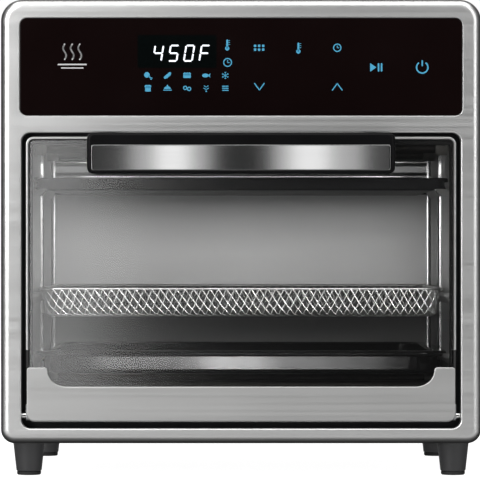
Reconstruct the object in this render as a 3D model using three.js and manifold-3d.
// Convection toaster oven with a drop-down glass door, a baking tray, a fry basket and a drip tray.
// Millimetres, +Z up. The front faces -Y and +X is to the right of somebody facing the door.
// The origin is on the table, under the middle of the oven's bounding box.
import * as THREE from 'three';
import { mergeVertices } from 'three/addons/utils/BufferGeometryUtils.js';
import Module from 'manifold-3d';

const wasm = await Module();
wasm.setup();

// ---------------------------------------------------------------- driving dimensions
const WIDTH = 380;
const FOOT_HEIGHT = 27;
const BODY_HEIGHT = 351;
const BODY_DEPTH = 330;
const HANDLE_REACH = 34;
const SPACER_DEPTH = 10;
const GAP = 0.3; // clearance between pieces that touch on the real oven
const SHEET = 1.2; // thickness of the outer sheet metal

const HALF = WIDTH / 2;
const TOP = FOOT_HEIGHT + BODY_HEIGHT;
const DEPTH = HANDLE_REACH + BODY_DEPTH + SPACER_DEPTH;
const FRONT = HANDLE_REACH - DEPTH / 2; // the fascia's front plane
const behind = (distance) => FRONT + distance; // Y of a plane this far behind the fascia's front
const REAR = behind(BODY_DEPTH);

// ---------------------------------------------------------------- outer shell
const LOW_CORNER = 11;
const HIGH_CORNER = 17;
const ROLLED_EDGE = 6.5;
const FASCIA_RETURN = 16;
const COVER_INSET = SHEET + GAP;
const COVER_START = 10;
const BASE_TOP = 45;
const GLAND = { x: 140, height: 62 };

// ---------------------------------------------------------------- front openings
const WINDOW = { half: 175, low: 285.9, high: 363.5, corner: 6 };
const DOORWAY = { half: 173.5, low: 39, high: 272.6, corner: 7, flange: 7 };

// ---------------------------------------------------------------- cooking cavity
const CAVITY = { half: 167.5, low: 57, high: 270, front: 22, back: 300, wall: 1 };
const LEDGE_TOPS = [97, 146, 234];
const LEDGE_REACH = 6;
const BACK_RIB_REACH = 2.5;
const FLANGE_FRONT = 19.6;
const FLANGE_THICKNESS = 2;
const FAN_DEPTH = 160; // of the fan's axis, behind the fascia's front
const FAN_OPENING = 85;

// ---------------------------------------------------------------- heaters
const ROD_RADIUS = 3.25;
const CERAMIC_RADIUS = 5;
const CERAMIC_CLEARANCE = 0.4;
const HEATERS = [
  { name: 'heater_upper_front', depth: 75, height: 262 },
  { name: 'heater_upper_rear', depth: 245, height: 262 },
  { name: 'heater_lower_front', depth: 90, height: 70 },
  { name: 'heater_lower_rear', depth: 230, height: 70 },
];
const PROBE = { x: 60, height: 251, radius: 2, start: 268 };

// ---------------------------------------------------------------- door
const HINGE = { depth: 10, height: 48.6, pin: 2.5, bore: 2.9 };
const DOOR = { half: 170, low: 44, high: 269.5, corner: 6, front: 2.3, back: 18, face: 2.4 };
const DOOR_RAIL = { low: 58.3, high: 66 }; // the frame's lower bar, above the hinge blocks
const GLASS = { front: 3.2, thickness: 4 };
const GASKET_BACK = 19.2;
const LOWER_PANEL = { half: 169.4, front: 1.2, sheet: 0.8, roll: 4, top: 72, shoulder: 87.2 };
const SHOULDER = { inner: 152.8, fillet: 13.5, round: 2 }; // the lower panel's raised ends
const HINGE_BLOCK = 155; // inner end of each hinge block
const HANDLE = { half: 120.3, low: 239.5, high: 271.5, back: -20, corner: 5 };
const HANDLE_PLATE = { half: 116.5, low: 242.3, high: 261.8, thickness: 0.7 };
const STANDOFF = { x: 105, halfWidth: 8, halfHeight: 9, bore: 3 };
const HANDLE_MIDDLE = (HANDLE_PLATE.low + HANDLE_PLATE.high) / 2;

// ---------------------------------------------------------------- trays
const TRAY = { rim: 165.5, front: 25, back: 285, sheet: 0.9, corner: 18 };
const UPPER_TRAY = { bodyHalf: 157, floorHalf: 153, low: 228.5, high: 237.5 };
const DRIP_TRAY = { bodyHalf: 154, floorHalf: 150, low: 82, high: 99.5 };
const BASKET = { rim: 160.5, floorHalf: 154, low: 127, high: 150, wing: 165, corner: 20, wall: 2 };
const CRUMB_TRAY = { half: 160, front: 24, back: 279, low: 58.3, high: 63, sheet: 0.8 };

// ---------------------------------------------------------------- feet
const FOOT = { x: 170, depths: [40, 275], topRadius: 12.8, bottomRadius: 10.2, pad: 3 };

// ---------------------------------------------------------------- material colours
function finish(color, roughness, metalness) {
  return new THREE.MeshStandardMaterial({ color, roughness, metalness });
}
const MATERIALS = {
  brushedSteel: finish(0xb4b4b2, 0.35, 1),
  polishedSteel: finish(0xc9c9c8, 0.15, 1),
  liner: finish(0x9b9b9a, 0.3, 1),
  enamel: finish(0x17181a, 0.4, 0.2),
  glass: new THREE.MeshStandardMaterial({
    color: 0x39393a,
    roughness: 0.05,
    transparent: true,
    opacity: 0.35,
  }),
  panelGlass: finish(0x080808, 0.12, 0),
  blackPlastic: finish(0x0c0c0d, 0.35, 0),
  footPlastic: finish(0x3c3c3c, 0.45, 0),
  rubber: finish(0x151515, 0.9, 0),
  silicone: finish(0x0b0b0b, 0.8, 0),
  galvanised: finish(0xa3a6a8, 0.45, 1),
  circuit: finish(0x1d5a34, 0.6, 0),
  iron: finish(0x55504a, 0.6, 0.8),
  heater: finish(0x5a5550, 0.45, 1),
};

// ================================================================ geometry helpers

/** Points of an arc about (x, y), both ends included. */
function arc(x, y, radius, from, to, steps) {
  return Array.from({ length: steps + 1 }, (_, i) => {
    const angle = from + ((to - from) * i) / steps;
    return new THREE.Vector2(x + radius * Math.cos(angle), y + radius * Math.sin(angle));
  });
}

/** Counter-clockwise rectangle with one corner radius for the low pair and one for the high pair. */
function roundedOutline(x0, y0, x1, y1, lowRadius, highRadius = lowRadius, steps = 4) {
  const quarter = Math.PI / 2;
  return [
    ...arc(x1 - lowRadius, y0 + lowRadius, lowRadius, -quarter, 0, steps),
    ...arc(x1 - highRadius, y1 - highRadius, highRadius, 0, quarter, steps),
    ...arc(x0 + highRadius, y1 - highRadius, highRadius, quarter, 2 * quarter, steps),
    ...arc(x0 + lowRadius, y0 + lowRadius, lowRadius, 2 * quarter, 3 * quarter, steps),
  ];
}

/** The same outline for a piece that is centred on x = 0. */
function centredOutline(half, low, high, lowRadius, highRadius = lowRadius, steps = 4) {
  return roundedOutline(-half, low, half, high, lowRadius, highRadius, steps);
}

/** Six times the signed volume inside a triangle list: positive when its faces point out. */
function signedVolume(position, triangles) {
  const [a, b, c] = [new THREE.Vector3(), new THREE.Vector3(), new THREE.Vector3()];
  let total = 0;
  for (let i = 0; i < triangles.length; i += 3) {
    a.fromBufferAttribute(position, triangles[i]);
    b.fromBufferAttribute(position, triangles[i + 1]);
    c.fromBufferAttribute(position, triangles[i + 2]);
    total += a.dot(b.cross(c));
  }
  return total;
}

/** Turns a closed three.js geometry into a solid that can be joined and cut. */
function toSolid(geometry) {
  const bare = geometry.clone();
  bare.deleteAttribute('normal');
  bare.deleteAttribute('uv');
  const merged = mergeVertices(bare, 1e-4);
  const triangles = [];
  for (let i = 0; i < merged.index.count; i += 3) {
    const [a, b, c] = [merged.index.getX(i), merged.index.getX(i + 1), merged.index.getX(i + 2)];
    if (a !== b && b !== c && c !== a) triangles.push(a, b, c);
  }
  const { position } = merged.attributes;
  if (signedVolume(position, triangles) < 0) triangles.reverse();
  const mesh = new wasm.Mesh({
    numProp: 3,
    vertProperties: new Float32Array(position.array),
    triVerts: new Uint32Array(triangles),
  });
  return new wasm.Manifold(mesh);
}

/** Turns a solid back into a three.js geometry with flat faces. */
function toGeometry(solid) {
  const mesh = solid.getMesh();
  const geometry = new THREE.BufferGeometry();
  geometry.setAttribute('position', new THREE.Float32BufferAttribute(mesh.vertProperties, 3));
  geometry.setIndex(new THREE.Uint32BufferAttribute(mesh.triVerts, 1));
  geometry.computeVertexNormals();
  return geometry;
}

const join = (...solids) => solids.reduce((body, other) => body.add(other));
const cut = (body, ...tools) => tools.reduce((rest, tool) => rest.subtract(tool), body);

const axes = (x, y, z) => new THREE.Matrix4().makeBasis(
  new THREE.Vector3(...x),
  new THREE.Vector3(...y),
  new THREE.Vector3(...z),
);
const FACING_FRONT = axes([1, 0, 0], [0, 0, 1], [0, -1, 0]); // outline in X and Z, thickness along Y
const FACING_SIDE = axes([0, 1, 0], [0, 0, 1], [1, 0, 0]); // outline in Y and Z, thickness along X

function extrude(points, holes, depth) {
  const shape = new THREE.Shape(points);
  holes.forEach((hole) => shape.holes.push(new THREE.Path(hole)));
  return new THREE.ExtrudeGeometry(shape, { depth, bevelEnabled: false });
}

/** A plate whose outline is in X and Z, from depth y0 to depth y1 behind the fascia's front. */
function frontPlate(points, y0, y1, holes = []) {
  const geometry = extrude(points, holes, y1 - y0).applyMatrix4(FACING_FRONT);
  return toSolid(geometry.translate(0, behind(y1), 0));
}

/** A plate whose outline is in Y and Z, from x0 to x1. */
function sidePlate(points, x0, x1, holes = []) {
  return toSolid(extrude(points, holes, x1 - x0).applyMatrix4(FACING_SIDE).translate(x0, 0, 0));
}

/** A level plate whose outline is in X and Y, from z0 to z1. */
function levelPlate(points, z0, z1, holes = []) {
  return toSolid(extrude(points, holes, z1 - z0).translate(0, 0, z0));
}

/** A box between two corners: x, depth behind the fascia's front, height. */
function block(x0, y0, z0, x1, y1, z1) {
  const box = new THREE.BoxGeometry(x1 - x0, y1 - y0, z1 - z0);
  return toSolid(box.translate((x0 + x1) / 2, behind((y0 + y1) / 2), (z0 + z1) / 2));
}

/** A round piece about an axis along X, Y or Z. Each profile point is [radius, distance along the axis]. */
function turned(profile, axis, x, depth, z, segments = 20) {
  const geometry = new THREE.LatheGeometry(profile.map(([r, t]) => new THREE.Vector2(r, t)), segments);
  if (axis === 'x') geometry.rotateZ(-Math.PI / 2);
  if (axis === 'z') geometry.rotateX(Math.PI / 2);
  return toSolid(geometry.translate(x, behind(depth), z));
}

/** A plain rod between two distances along its axis. */
function rod(radius, from, to, axis, x, depth, z, segments = 16) {
  return turned([[0, from], [radius, from], [radius, to], [0, to]], axis, x, depth, z, segments);
}

/** A solid through rings of equally many points, closed with a flat face at each end. */
function loft(rings) {
  const count = rings[0].length;
  const index = [];
  for (let start = 0; start < count * (rings.length - 1); start += count) {
    for (let i = 0; i < count; i += 1) {
      const a = start + i;
      const b = start + ((i + 1) % count);
      index.push(a, b, b + count, a, b + count, a + count);
    }
  }
  const last = count * (rings.length - 1);
  for (let i = 1; i + 1 < count; i += 1) {
    index.push(0, i + 1, i);
    index.push(last, last + i, last + i + 1);
  }
  const geometry = new THREE.BufferGeometry().setFromPoints(rings.flat());
  geometry.setIndex(index);
  return toSolid(geometry);
}

/** A bent strip of sheet: a line of points, thickened to the right of its direction of travel. */
function thicken(points, thickness) {
  const rightOf = (a, b) => new THREE.Vector2(b.y - a.y, a.x - b.x).normalize();
  const outer = points.map((point, i) => {
    const before = rightOf(points[Math.max(i - 1, 0)], points[Math.max(i, 1)]);
    const after = rightOf(points[Math.min(i, points.length - 2)], points[Math.min(i + 1, points.length - 1)]);
    const mitre = before.clone().add(after).normalize();
    return point.clone().addScaledVector(mitre, thickness / mitre.dot(after));
  });
  return [...points, ...outer.reverse()];
}

/** Evenly spaced numbers from first to last. */
const spread = (first, last, count) => Array.from(
  { length: count },
  (_, i) => first + ((last - first) * i) / (count - 1),
);

const oven = new THREE.Group();
const cabinet = new THREE.Group();
const door = new THREE.Group();
const fan = new THREE.Group();
const trays = new THREE.Group();
oven.add(cabinet, door, fan, trays);

function add(group, name, solid, material) {
  const mesh = new THREE.Mesh(toGeometry(solid), material);
  mesh.name = name;
  group.add(mesh);
}

const SIDES = [
  { word: 'left', sign: -1 },
  { word: 'right', sign: 1 },
];

// ================================================================ outer shell

/** The body's front outline, drawn in by an inset. */
function bodyOutline(inset) {
  const [low, high] = [FOOT_HEIGHT + inset, TOP - inset];
  return centredOutline(HALF - inset, low, high, LOW_CORNER - inset, HIGH_CORNER - inset);
}

/** The body's outline with a rolled front edge, drawn in by an inset and running to a depth. */
function rolledBlock(inset, depth) {
  const radius = ROLLED_EDGE - inset;
  const steps = [0, 1, 2, 3].map((i) => (i * Math.PI) / 6);
  const sections = steps.map((angle) => [
    inset + radius * (1 - Math.sin(angle)),
    inset + radius * (1 - Math.cos(angle)),
  ]);
  sections.push([inset, depth]);
  const ring = ([drawnIn, y]) => bodyOutline(drawnIn).map((p) => new THREE.Vector3(p.x, behind(y), p.y));
  return loft(sections.map(ring));
}

function frontFascia() {
  const shell = cut(rolledBlock(0, FASCIA_RETURN), rolledBlock(SHEET, FASCIA_RETURN + 1));
  const { half, low, high, corner, flange } = DOORWAY;
  const lip = frontPlate(centredOutline(half + 1, low - 1, high + 1, corner + 1), GAP, flange);
  const doorway = frontPlate(centredOutline(half, low, high, corner), -1, flange + 1);
  const windowOutline = centredOutline(WINDOW.half, WINDOW.low, WINDOW.high, WINDOW.corner);
  return cut(join(shell, lip), doorway, frontPlate(windowOutline, -1, SHEET + 1));
}

/** The ring of sheet behind the fascia, which the cover and the base plate are cut from. */
function bodyRing() {
  const end = BODY_DEPTH - SHEET - GAP;
  const outer = frontPlate(bodyOutline(COVER_INSET), COVER_START, end);
  return cut(outer, frontPlate(bodyOutline(COVER_INSET + SHEET), COVER_START - 1, end + 1));
}

function outerCover() {
  const slots = spread(232, 304, 9).map((depth) => block(-HALF, depth - 2, 300, HALF, depth + 2, 336));
  const lower = block(-HALF, 0, 0, HALF, BODY_DEPTH, BASE_TOP + GAP);
  return cut(bodyRing(), lower, ...slots);
}

function basePlate() {
  const upper = block(-HALF, 0, BASE_TOP, HALF, BODY_DEPTH, TOP);
  const vents = spread(-105, 105, 8).map((x) => block(x - 3, 120, 27, x + 3, 210, 31));
  return cut(bodyRing(), upper, ...vents);
}

function rearPanel() {
  const [front, back] = [BODY_DEPTH - SHEET, BODY_DEPTH];
  const plate = frontPlate(bodyOutline(COVER_INSET), front, back);
  const slots = spread(290, 350, 7).map((z) => block(-90, front - 1, z - 2, 90, back + 1, z + 2));
  const inlet = rod(6.4, front - 1, back + 1, 'y', GLAND.x, 0, GLAND.height);
  return cut(plate, ...slots, inlet);
}

/** Strain-relief bush that the mains lead leaves through. */
function cordGland() {
  const start = BODY_DEPTH - 8;
  const end = BODY_DEPTH + 7;
  const seat = BODY_DEPTH + GAP;
  const profile = [
    [4, start], [6, start], [6, seat], [9, seat],
    [9, seat + 2], [7, end], [4, end], [4, start],
  ];
  return turned(profile, 'y', GLAND.x, 0, GLAND.height);
}

/** Bumper that keeps the hot back away from a wall. */
function rearSpacer(sign) {
  const [start, end] = [BODY_DEPTH + GAP, BODY_DEPTH + SPACER_DEPTH];
  return turned([[0, start], [11, start], [9, end], [0, end]], 'y', 130 * sign, 0, 110);
}

function foot(sign, depth) {
  const [low, high] = [FOOT.pad, FOOT_HEIGHT + COVER_INSET - GAP];
  const profile = [[0, low], [FOOT.bottomRadius, low], [FOOT.topRadius, high], [0, high]];
  return turned(profile, 'z', FOOT.x * sign, depth, 0);
}

function footPad(sign, depth) {
  return rod(FOOT.bottomRadius - 0.6, 0, FOOT.pad - GAP, 'z', FOOT.x * sign, depth, 0);
}

add(cabinet, 'front_fascia', frontFascia(), MATERIALS.brushedSteel);
add(cabinet, 'outer_cover', outerCover(), MATERIALS.brushedSteel);
add(cabinet, 'base_plate', basePlate(), MATERIALS.galvanised);
add(cabinet, 'rear_panel', rearPanel(), MATERIALS.galvanised);
add(cabinet, 'cord_gland', cordGland(), MATERIALS.blackPlastic);
for (const { word, sign } of SIDES) {
  add(cabinet, `rear_spacer_${word}`, rearSpacer(sign), MATERIALS.blackPlastic);
  ['front', 'rear'].forEach((place, i) => {
    add(cabinet, `foot_${place}_${word}`, foot(sign, FOOT.depths[i]), MATERIALS.footPlastic);
    add(cabinet, `foot_pad_${place}_${word}`, footPad(sign, FOOT.depths[i]), MATERIALS.rubber);
  });
}

// ================================================================ cooking cavity

/** Holes that the heaters' ceramic ends pass through. */
function heaterHoles() {
  const radius = CERAMIC_RADIUS + CERAMIC_CLEARANCE;
  return HEATERS.map(({ depth, height }) => rod(radius, -HALF, HALF, 'x', 0, depth, height, 12));
}

/** Side wall in one pressing, with a ledge for each tray and for the basket. */
function cavitySideWall(sign) {
  const line = [[0, CAVITY.low + GAP]];
  for (const top of LEDGE_TOPS) {
    line.push([0, top - 9], [LEDGE_REACH, top - 3], [LEDGE_REACH, top], [0, top]);
  }
  line.push([0, CAVITY.high]);
  const inner = line.map(([reach, z]) => new THREE.Vector2(CAVITY.half - reach, z));
  const section = thicken(inner, CAVITY.wall).map((p) => new THREE.Vector2(p.x * sign, p.y));
  return cut(frontPlate(section, CAVITY.front, CAVITY.back - BACK_RIB_REACH - GAP), ...heaterHoles());
}

/** Back wall with two pressed ribs across it. */
function cavityBackWall() {
  const line = [[CAVITY.back, CAVITY.low + GAP]];
  for (const rib of [244.7, 257.6]) {
    line.push([CAVITY.back, rib - 4], [CAVITY.back - BACK_RIB_REACH, rib], [CAVITY.back, rib + 4]);
  }
  line.push([CAVITY.back, CAVITY.high]);
  const inner = line.map(([depth, z]) => new THREE.Vector2(behind(depth), z));
  const half = CAVITY.half + CAVITY.wall;
  const wall = sidePlate(thicken(inner, CAVITY.wall), -half, half);
  const hole = rod(PROBE.radius + 0.5, behind(0), REAR, 'y', PROBE.x, -FRONT, PROBE.height, 12);
  return cut(wall, hole);
}

function cavityCeiling() {
  const half = CAVITY.half + CAVITY.wall;
  const low = CAVITY.high + GAP;
  const plate = block(-half, CAVITY.front, low, half, CAVITY.back + CAVITY.wall, low + CAVITY.wall);
  return cut(plate, rod(FAN_OPENING, 0, TOP, 'z', 0, FAN_DEPTH, 0, 28));
}

function cavityFloor() {
  const half = CAVITY.half + CAVITY.wall;
  const { low, wall } = CAVITY;
  return block(-half, CAVITY.front, low - wall, half, CAVITY.back + wall, low);
}

/** Dark frame around the cavity's mouth, which the door's seal closes on. */
function cavityFrontFlange() {
  const outline = centredOutline(186, 31.5, 284, 6);
  const mouth = centredOutline(CAVITY.half, CAVITY.low, CAVITY.high, 2, 2, 2);
  return frontPlate(outline, FLANGE_FRONT, FLANGE_FRONT + FLANGE_THICKNESS, [mouth]);
}

/** Tubular heater: a steel rod with a ceramic bush and a terminal pin at each end. */
function heater(depth, height) {
  const [rodEnd, ceramicEnd, pinEnd] = [158, 175, 182];
  const oneEnd = [
    [ROD_RADIUS, rodEnd],
    [CERAMIC_RADIUS, rodEnd],
    [CERAMIC_RADIUS, ceramicEnd],
    [1.5, ceramicEnd],
    [1.5, pinEnd],
    [0, pinEnd],
  ];
  const otherEnd = oneEnd.map(([radius, x]) => [radius, -x]).reverse();
  return turned([...otherEnd, ...oneEnd], 'x', 0, depth, height, 10);
}

function temperatureProbe() {
  return rod(PROBE.radius, PROBE.start, CAVITY.back + 14, 'y', PROBE.x, 0, PROBE.height, 10);
}

for (const { word, sign } of SIDES) {
  add(cabinet, `cavity_${word}_wall`, cavitySideWall(sign), MATERIALS.liner);
}
add(cabinet, 'cavity_back_wall', cavityBackWall(), MATERIALS.liner);
add(cabinet, 'cavity_ceiling', cavityCeiling(), MATERIALS.liner);
add(cabinet, 'cavity_floor', cavityFloor(), MATERIALS.liner);
add(cabinet, 'cavity_front_flange', cavityFrontFlange(), MATERIALS.enamel);
add(cabinet, 'temperature_probe', temperatureProbe(), MATERIALS.heater);
for (const { name, depth, height } of HEATERS) {
  add(cabinet, name, heater(depth, height), MATERIALS.heater);
}

// ================================================================ convection fan

const GUARD = { radius: 95, low: 268.4 };
const HOUSING = { radius: 92, flange: 100, top: 303, sheet: 1 };
const IMPELLER = { radius: 75, low: 276, high: 296, blades: 10, hub: 10 };
const SHAFT = { radius: 3, low: 274, high: 356, clearance: 0.3 };
const MOTOR = { radius: 30, height: 40 };
const COOLING_FAN = { radius: 38, low: 347, high: 355, blades: 8, hub: 8 };

/** Rounded plate under the fan's opening, with two rings of radial slots. */
function fanGuard() {
  const slots = [];
  for (const { count, from, to } of [{ count: 10, from: 16, to: 44 }, { count: 20, from: 52, to: 84 }]) {
    for (let i = 0; i < count; i += 1) {
      const slot = new THREE.BoxGeometry(to - from, 5, 10).translate((from + to) / 2, 0, 0);
      slot.rotateZ((2 * Math.PI * i) / count).translate(0, behind(FAN_DEPTH), GUARD.low);
      slots.push(toSolid(slot));
    }
  }
  return cut(rod(GUARD.radius, GUARD.low, CAVITY.high, 'z', 0, FAN_DEPTH, 0, 32), ...slots);
}

/** Pressed cover over the fan, with a hole for the shaft. */
function fanHousing() {
  const { radius, flange, top, sheet } = HOUSING;
  const base = CAVITY.high + CAVITY.wall + 2 * GAP;
  const profile = [
    [8, top],
    [radius - 4, top],
    [radius, top - 4],
    [radius, base + sheet],
    [flange, base + sheet],
    [flange, base],
    [radius - sheet, base],
    [radius - sheet, top - 4.4],
    [radius - 4.4, top - sheet],
    [8, top - sheet],
    [8, top],
  ];
  return turned(profile, 'z', 0, FAN_DEPTH, 0, 28);
}

/** Hub with radial blades between two heights, bored for the shaft. */
function bladedWheel({ radius, low, high, blades, hub }, plateThickness) {
  const pieces = [rod(hub, low, high, 'z', 0, FAN_DEPTH, 0)];
  if (plateThickness > 0) pieces.push(rod(radius, high - plateThickness, high, 'z', 0, FAN_DEPTH, 0, 24));
  for (let i = 0; i < blades; i += 1) {
    const length = radius - 1 - hub / 2;
    const blade = new THREE.BoxGeometry(length, 1.2, high - low - 2);
    blade.translate(hub / 2 + length / 2, 0, (low + high) / 2 - 0.5);
    blade.rotateZ((2 * Math.PI * i) / blades).translate(0, behind(FAN_DEPTH), 0);
    pieces.push(toSolid(blade));
  }
  const bore = rod(SHAFT.radius + SHAFT.clearance, low - 1, high + 1, 'z', 0, FAN_DEPTH, 0, 12);
  return cut(join(...pieces), bore);
}

function fanMotor() {
  const low = HOUSING.top + GAP;
  const high = low + MOTOR.height;
  const bore = SHAFT.radius + 0.5;
  const profile = [
    [bore, low],
    [MOTOR.radius, low],
    [MOTOR.radius, high - 6],
    [12, high - 6],
    [12, high],
    [bore, high],
    [bore, low],
  ];
  return turned(profile, 'z', 0, FAN_DEPTH, 0);
}

add(cabinet, 'fan_guard', fanGuard(), MATERIALS.liner);
add(cabinet, 'fan_housing', fanHousing(), MATERIALS.galvanised);
add(cabinet, 'fan_motor', fanMotor(), MATERIALS.iron);
add(fan, 'fan_impeller', bladedWheel(IMPELLER, 1.2), MATERIALS.galvanised);
add(fan, 'cooling_fan', bladedWheel(COOLING_FAN, 0), MATERIALS.galvanised);
const shaft = rod(SHAFT.radius, SHAFT.low, SHAFT.high, 'z', 0, FAN_DEPTH, 0, 12);
add(fan, 'fan_shaft', shaft, MATERIALS.polishedSteel);

// ================================================================ controls

const GLASS_FRONT = 0.2;
const GLASS_BACK = 3.2;
const CARRIER = { half: 172, low: 287, high: 362, back: 15, wall: 2.5 };

function controlGlass() {
  const { half, low, high, corner } = WINDOW;
  const outline = centredOutline(half - GAP, low + GAP, high - GAP, corner - GAP);
  return frontPlate(outline, GLASS_FRONT, GLASS_BACK);
}

/** Tray behind the glass that holds the display and the touch board, open at the front. */
function panelCarrier() {
  const { half, low, high, back, wall } = CARRIER;
  const tray = frontPlate(centredOutline(half, low, high, 4), GLASS_BACK + 0.4, back);
  const hollow = centredOutline(half - wall, low + wall, high - wall, 2);
  return cut(tray, frontPlate(hollow, 0, back - wall), block(90, back - 4, 300, 150, back + 1, 345));
}

/** Circuit board carrying its larger components as one piece. */
function powerBoard() {
  const board = block(108, 60, 280, 178, 190, 281.6);
  const relay = block(118, 75, 281, 138, 100, 300);
  const filter = block(148, 120, 281, 170, 150, 298);
  const capacitor = rod(8, 281, 304, 'z', 126, 160, 0, 12);
  return join(board, relay, filter, capacitor);
}

function transformer() {
  const core = block(-172, 200, 272, -120, 250, 310);
  const coil = block(-163, 194, 280, -129, 256, 302);
  return join(core, coil);
}

add(cabinet, 'control_glass', controlGlass(), MATERIALS.panelGlass);
add(cabinet, 'panel_carrier', panelCarrier(), MATERIALS.blackPlastic);
add(cabinet, 'display_module', block(-86, 4, 320, -15, 11, 353), MATERIALS.blackPlastic);
add(cabinet, 'control_board', block(-100, 15.4, 295, 100, 17, 355), MATERIALS.circuit);
add(cabinet, 'power_board', powerBoard(), MATERIALS.circuit);
add(cabinet, 'transformer', transformer(), MATERIALS.iron);

// ================================================================ door

/** A length of the door's foot, with its lower front corner rounded to sit inside the rolled skirt. */
function doorFoot(x0, x1, back, high) {
  const { front, roll, sheet } = LOWER_PANEL;
  const radius = roll - sheet - GAP;
  const centre = new THREE.Vector2(behind(front + roll), DOOR.low + roll);
  const outline = [
    new THREE.Vector2(behind(back), centre.y - radius),
    new THREE.Vector2(behind(back), high),
    new THREE.Vector2(centre.x - radius, high),
    ...arc(centre.x, centre.y, radius, Math.PI, 1.5 * Math.PI, 4),
  ];
  return sidePlate(outline, x0, x1);
}

/** Trim around the glass, with the lower rail that carries the hinge blocks. */
function doorFrame() {
  const { half, high, corner, front, back, face } = DOOR;
  const outer = centredOutline(half, DOOR_RAIL.low, high, 1, corner);
  const inner = centredOutline(half - face, DOOR_RAIL.high, high - face, 1, corner - face);
  const rail = doorFoot(GAP - HINGE_BLOCK, HINGE_BLOCK - GAP, back - 0.5, DOOR_RAIL.low + 2);
  return join(frontPlate(outer, front, back, [inner]), rail);
}

function doorGlass() {
  const { half, high, face, corner } = DOOR;
  const edge = face + 0.4;
  const outline = centredOutline(half - edge, DOOR_RAIL.high + 0.4, high - edge, 1, corner - edge);
  const pane = frontPlate(outline, GLASS.front, GLASS.front + GLASS.thickness);
  const holes = SIDES.map(({ sign }) => rod(3.2, 0, 20, 'y', STANDOFF.x * sign, 0, HANDLE_MIDDLE, 12));
  return cut(pane, ...holes);
}

/** Heat-proof seal around the back of the glass. */
function doorGasket() {
  const { half, high, face, corner } = DOOR;
  const edge = face + 0.4;
  const outer = centredOutline(half - edge, DOOR_RAIL.high + 0.4, high - edge, 1, corner - edge);
  const inner = centredOutline(half - edge - 1.6, DOOR_RAIL.high + 4, high - edge - 3.2, 1);
  return frontPlate(outer, GLASS.front + GLASS.thickness + GAP, GASKET_BACK, [inner]);
}

/** Steel skirt across the door's foot: a low middle, raised shoulders and a bottom edge rolled back. */
function doorLowerPanel() {
  const { half, front, sheet, top, shoulder, roll } = LOWER_PANEL;
  const { inner, fillet, round } = SHOULDER;
  const quarter = Math.PI / 2;
  const rightEnd = [
    new THREE.Vector2(half, DOOR.low + roll),
    ...arc(half - round, shoulder - round, round, 0, quarter, 2),
    new THREE.Vector2(inner, shoulder),
    ...arc(inner - fillet, top + fillet, fillet, 0, -quarter, 5),
  ];
  const leftEnd = rightEnd.map((p) => new THREE.Vector2(-p.x, p.y)).reverse();
  const face = frontPlate([...rightEnd, ...leftEnd], front, front + sheet);
  const curl = arc(behind(front + roll), DOOR.low + roll, roll, 2 * quarter, 3 * quarter, 4);
  curl.push(new THREE.Vector2(behind(front + 2 * roll), DOOR.low));
  return join(face, sidePlate(thicken(curl.reverse(), sheet), -half, half));
}

function doorHingeBlock(sign) {
  const [near, far] = [HINGE_BLOCK * sign, DOOR.half * sign];
  const body = doorFoot(Math.min(near, far), Math.max(near, far), DOOR.back, DOOR_RAIL.low - GAP);
  return cut(body, rod(HINGE.bore, -HALF, HALF, 'x', 0, HINGE.depth, HINGE.height));
}

function handleBar() {
  const { half, low, high, back, corner } = HANDLE;
  const front = -HANDLE_REACH + HANDLE_PLATE.thickness + GAP;
  const middle = frontPlate(centredOutline(half, low, high, corner), front + 2, back);
  const face = centredOutline(half - 2, low + 2, high - 2, corner - 2);
  return join(middle, frontPlate(face, front, front + 3));
}

function handlePlate() {
  const { half, low, high, thickness } = HANDLE_PLATE;
  return frontPlate(centredOutline(half, low, high, 3), -HANDLE_REACH, thickness - HANDLE_REACH);
}

function handleStandoff(sign) {
  const { x, halfWidth, halfHeight, bore } = STANDOFF;
  const middle = x * sign;
  const [z0, z1] = [HANDLE_MIDDLE - halfHeight, HANDLE_MIDDLE + halfHeight];
  const outline = roundedOutline(middle - halfWidth, z0, middle + halfWidth, z1, 3, 3, 2);
  const post = frontPlate(outline, HANDLE.back + GAP, GLASS.front - GAP);
  return cut(post, rod(bore, -13, 10, 'y', middle, 0, HANDLE_MIDDLE, 12));
}

function handleScrew(sign) {
  const seat = GLASS.front + GLASS.thickness + GAP;
  const profile = [
    [0, -12.5], [2.6, -12.5], [2.6, seat], [5, seat],
    [5, seat + 1.5], [4, seat + 2.5], [0, seat + 2.5],
  ];
  return turned(profile, 'y', STANDOFF.x * sign, 0, HANDLE_MIDDLE, 12);
}

add(door, 'door_frame', doorFrame(), MATERIALS.brushedSteel);
add(door, 'door_glass', doorGlass(), MATERIALS.glass);
add(door, 'door_gasket', doorGasket(), MATERIALS.silicone);
add(door, 'door_lower_panel', doorLowerPanel(), MATERIALS.brushedSteel);
add(door, 'handle_bar', handleBar(), MATERIALS.blackPlastic);
add(door, 'handle_plate', handlePlate(), MATERIALS.polishedSteel);
for (const { word, sign } of SIDES) {
  add(door, `door_hinge_block_${word}`, doorHingeBlock(sign), MATERIALS.galvanised);
  add(door, `handle_standoff_${word}`, handleStandoff(sign), MATERIALS.blackPlastic);
  add(door, `handle_screw_${word}`, handleScrew(sign), MATERIALS.polishedSteel);
}

// ================================================================ hinges

const SPRING = { coil: 5, wire: 0.9, turns: 3, from: 180.5, to: 186 };

/** Fixed pin that the door turns on, riveted to its bracket behind the fascia. */
function hingePin(sign) {
  const x0 = sign > 0 ? 160 : -187;
  const plateX = sign > 0 ? 174.9 : -177.9;
  const pin = rod(HINGE.pin, x0, x0 + 27, 'x', 0, HINGE.depth, HINGE.height);
  return join(pin, block(plateX, 7.4, 42, plateX + 3, FLANGE_FRONT - GAP, 56));
}

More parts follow.
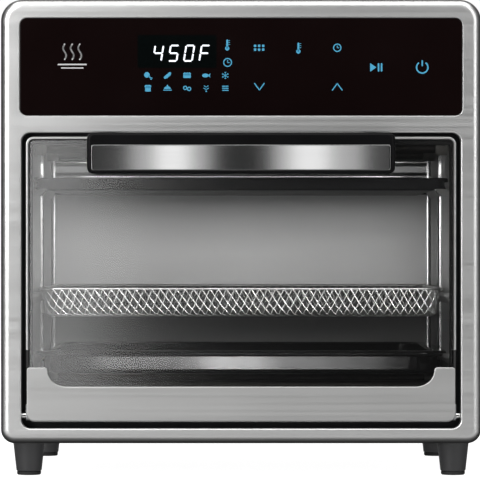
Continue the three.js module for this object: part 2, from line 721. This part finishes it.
/** Coil around the pin that balances the door's weight. */
class Helix extends THREE.Curve {
  constructor(sign) {
    super();
    this.sign = sign;
  }

  getPoint(t) {
    const angle = 2 * Math.PI * SPRING.turns * t;
    const x = this.sign * (SPRING.from + (SPRING.to - SPRING.from) * t);
    const depth = HINGE.depth + SPRING.coil * Math.cos(angle);
    return new THREE.Vector3(x, behind(depth), HINGE.height + SPRING.coil * Math.sin(angle));
  }
}

function doorSpring(sign) {
  const section = new THREE.Shape(arc(0, 0, SPRING.wire, 0, (5 / 3) * Math.PI, 5));
  const options = { extrudePath: new Helix(sign), steps: 12 * SPRING.turns, bevelEnabled: false };
  return toSolid(new THREE.ExtrudeGeometry(section, options));
}

for (const { word, sign } of SIDES) {
  add(cabinet, `hinge_pin_${word}`, hingePin(sign), MATERIALS.polishedSteel);
  add(cabinet, `door_spring_${word}`, doorSpring(sign), MATERIALS.polishedSteel);
}

// ================================================================ trays

/** Level rounded ring between two depths, as the loft wants it. */
function levelRing(half, front, back, radius, z) {
  const outline = roundedOutline(-half, behind(front), half, behind(back), radius);
  return outline.map((p) => new THREE.Vector3(p.x, p.y, z));
}

/** Pressed tray: a floor, sloping walls and a flat rim with its edge turned down. */
function pressedTray({ bodyHalf, floorHalf, low, high }) {
  const { rim, front, back, sheet, corner } = TRAY;
  const section = (half, z) => {
    const drawnIn = rim - half;
    return levelRing(half, front + drawnIn, back - drawnIn, Math.max(corner - drawnIn / 2, 2), z);
  };
  return loft([
    section(floorHalf, low),
    section(bodyHalf, high - sheet),
    section(rim - sheet, high - sheet),
    section(rim - sheet, high - 2.2),
    section(rim, high - 2.2),
    section(rim, high),
    section(bodyHalf - sheet, high),
    section(floorHalf - sheet, low + sheet),
  ]);
}

/** Outer form of the wire basket, with the side wings that rest on the ledges. */
function fryBasket() {
  const { rim, floorHalf, low, high, wing, corner, wall } = BASKET;
  const section = (half, z) => {
    const drawnIn = rim - half;
    return levelRing(half, TRAY.front + 6 + drawnIn, TRAY.back - 6 - drawnIn, corner, z);
  };
  const shell = loft([
    section(floorHalf, low),
    section(rim - 3, high - 3),
    section(rim, high - 3),
    section(rim, high),
    section(rim - 3, high),
    section(rim - 3 - wall, high - 3),
    section(floorHalf - wall, low + wall),
  ]);
  const wings = SIDES.flatMap(({ sign }) => [70, 240].map((depth) => {
    const [x0, x1] = sign > 0 ? [rim - 1, wing] : [-wing, 1 - rim];
    return block(x0, depth - 25, high - 3, x1, depth + 25, high - 1);
  }));
  return join(shell, ...wings);
}

function crumbTray() {
  const { half, front, back, low, high, sheet } = CRUMB_TRAY;
  const tray = block(-half, front, low, half, back, high);
  return cut(tray, block(sheet - half, front + sheet, low + sheet, half - sheet, back - sheet, high + 1));
}

add(trays, 'upper_tray', pressedTray(UPPER_TRAY), MATERIALS.enamel);
add(trays, 'fry_basket', fryBasket(), MATERIALS.polishedSteel);
add(trays, 'drip_tray', pressedTray(DRIP_TRAY), MATERIALS.polishedSteel);
add(trays, 'crumb_tray', crumbTray(), MATERIALS.galvanised);

export default oven;
